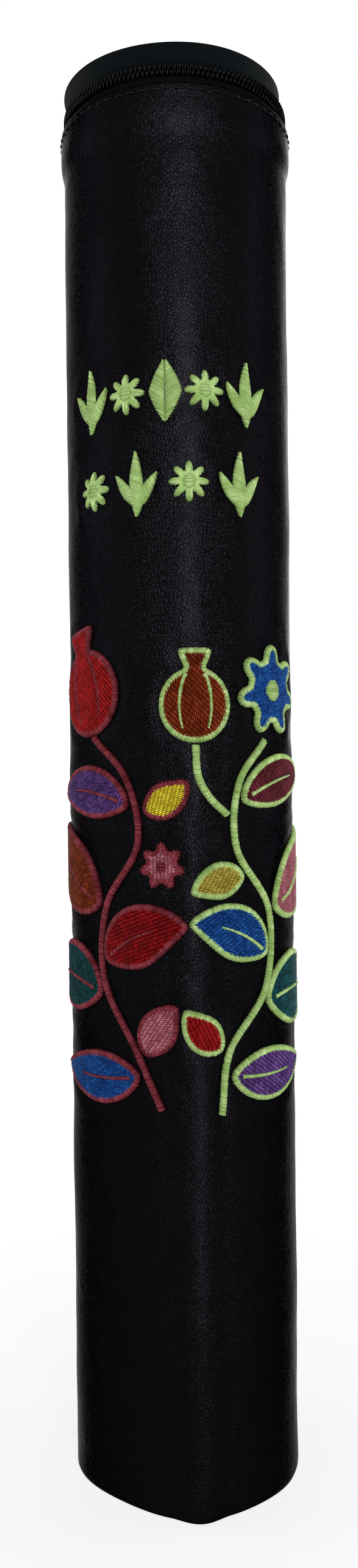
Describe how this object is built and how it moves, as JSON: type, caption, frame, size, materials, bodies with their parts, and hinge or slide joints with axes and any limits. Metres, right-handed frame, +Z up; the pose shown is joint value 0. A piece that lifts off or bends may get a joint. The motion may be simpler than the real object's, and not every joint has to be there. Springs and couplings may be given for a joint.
{
  "type": "zipped scroll case",
  "caption": "Upright leather tube case for a rolled scroll, with a round hinged lid closed by a coil zip and floral embroidery on the front.",
  "frame": {"origin": "centre of the flat underside of the base", "axes": "+Z up along the tube to the lid, -Y towards the embroidered front, +Y towards the hinge of the lid"},
  "size_m": [0.0626, 0.0639, 0.3703],
  "materials": {
    "leather_black": "soft pebble grain, low sheen",
    "stiff_board": "plain stiff board",
    "lining_cloth": "plain woven cloth",
    "zip_tape": "woven herringbone tape",
    "nylon_coil": "satin nylon",
    "slider_metal": "black enamel",
    "thread_lime": "embroidery thread with a slight sheen",
    "thread_mauve": "embroidery thread with a slight sheen",
    "thread_teal": "embroidery thread with a slight sheen",
    "thread_deep_teal": "embroidery thread with a slight sheen",
    "thread_red": "embroidery thread with a slight sheen",
    "thread_deep_red": "embroidery thread with a slight sheen",
    "thread_orange": "embroidery thread with a slight sheen",
    "thread_yellow": "embroidery thread with a slight sheen",
    "thread_olive": "embroidery thread with a slight sheen",
    "thread_blue": "embroidery thread with a slight sheen",
    "thread_purple": "embroidery thread with a slight sheen",
    "thread_pink": "embroidery thread with a slight sheen",
    "thread_wine": "embroidery thread with a slight sheen"
  },
  "bodies": {
    "case": {"case_leather": "leather_black", "seam_strip": "leather_black", "base_leather": "leather_black", "hinge_gusset": "leather_black", "stiffener": "stiff_board", "base_board": "stiff_board", "lining": "lining_cloth", "base_lining": "lining_cloth", "lower_tape": "zip_tape", "zip_tail_left": "zip_tape", "zip_tail_right": "zip_tape", "end_tack_left": "zip_tape", "end_tack_right": "zip_tape", "lower_coil": "nylon_coil", "stem_left": "thread_mauve", "stem_right": "thread_lime", "stem_middle": "thread_lime", "leaf_blue_low": "thread_blue", "leaf_teal_left": "thread_deep_teal", "leaf_orange_left": "thread_orange", "leaf_purple_left": "thread_purple", "leaf_pink_low": "thread_pink", "leaf_wine_left": "thread_deep_red", "leaf_yellow_left": "thread_yellow", "leaf_purple_low": "thread_purple", "leaf_teal_right": "thread_teal", "leaf_pink_right": "thread_pink", "leaf_wine_right": "thread_wine", "leaf_red_low": "thread_red", "leaf_blue_right": "thread_blue", "leaf_olive_right": "thread_olive", "fruit_red": "thread_red", "fruit_orange": "thread_orange", "blossom_blue": "thread_blue", "blossom_pink": "thread_pink", "ornament_upper_1": "thread_lime", "ornament_upper_2": "thread_lime", "ornament_upper_3": "thread_lime", "ornament_upper_4": "thread_lime", "ornament_upper_5": "thread_lime", "ornament_lower_1": "thread_lime", "ornament_lower_2": "thread_lime", "ornament_lower_3": "thread_lime", "ornament_lower_4": "thread_lime"},
    "lid": {"upper_tape": "zip_tape", "upper_coil": "nylon_coil", "lid_board": "stiff_board", "lid_leather": "leather_black", "lid_lining": "lining_cloth"},
    "slider": {"slider_body": "slider_metal", "slider_crown": "slider_metal"},
    "pull_tab": {"pull_tab": "slider_metal"}
  },
  "joints": [
    {"name": "lid_hinge", "type": "hinge", "parent": "case", "child": "lid", "pos_m": [0, 0.0281, 0.3669], "axis": [-1, 0, 0], "range_deg": [0, 110], "deforming": ["hinge_gusset", "zip_tail_left", "zip_tail_right"]},
    {"name": "slider_travel", "type": "hinge", "parent": "case", "child": "slider", "pos_m": [0, 0, 0.3629], "axis": [0, 0, -1], "range_deg": [0, 305.9], "deforming": ["lower_coil", "upper_coil"]},
    {"name": "pull_tab_flip", "type": "hinge", "parent": "slider", "child": "pull_tab", "pos_m": [0.01485, 0.02914, 0.3629], "axis": [0, 0, 1], "range_deg": [0, 175]}
  ]
}
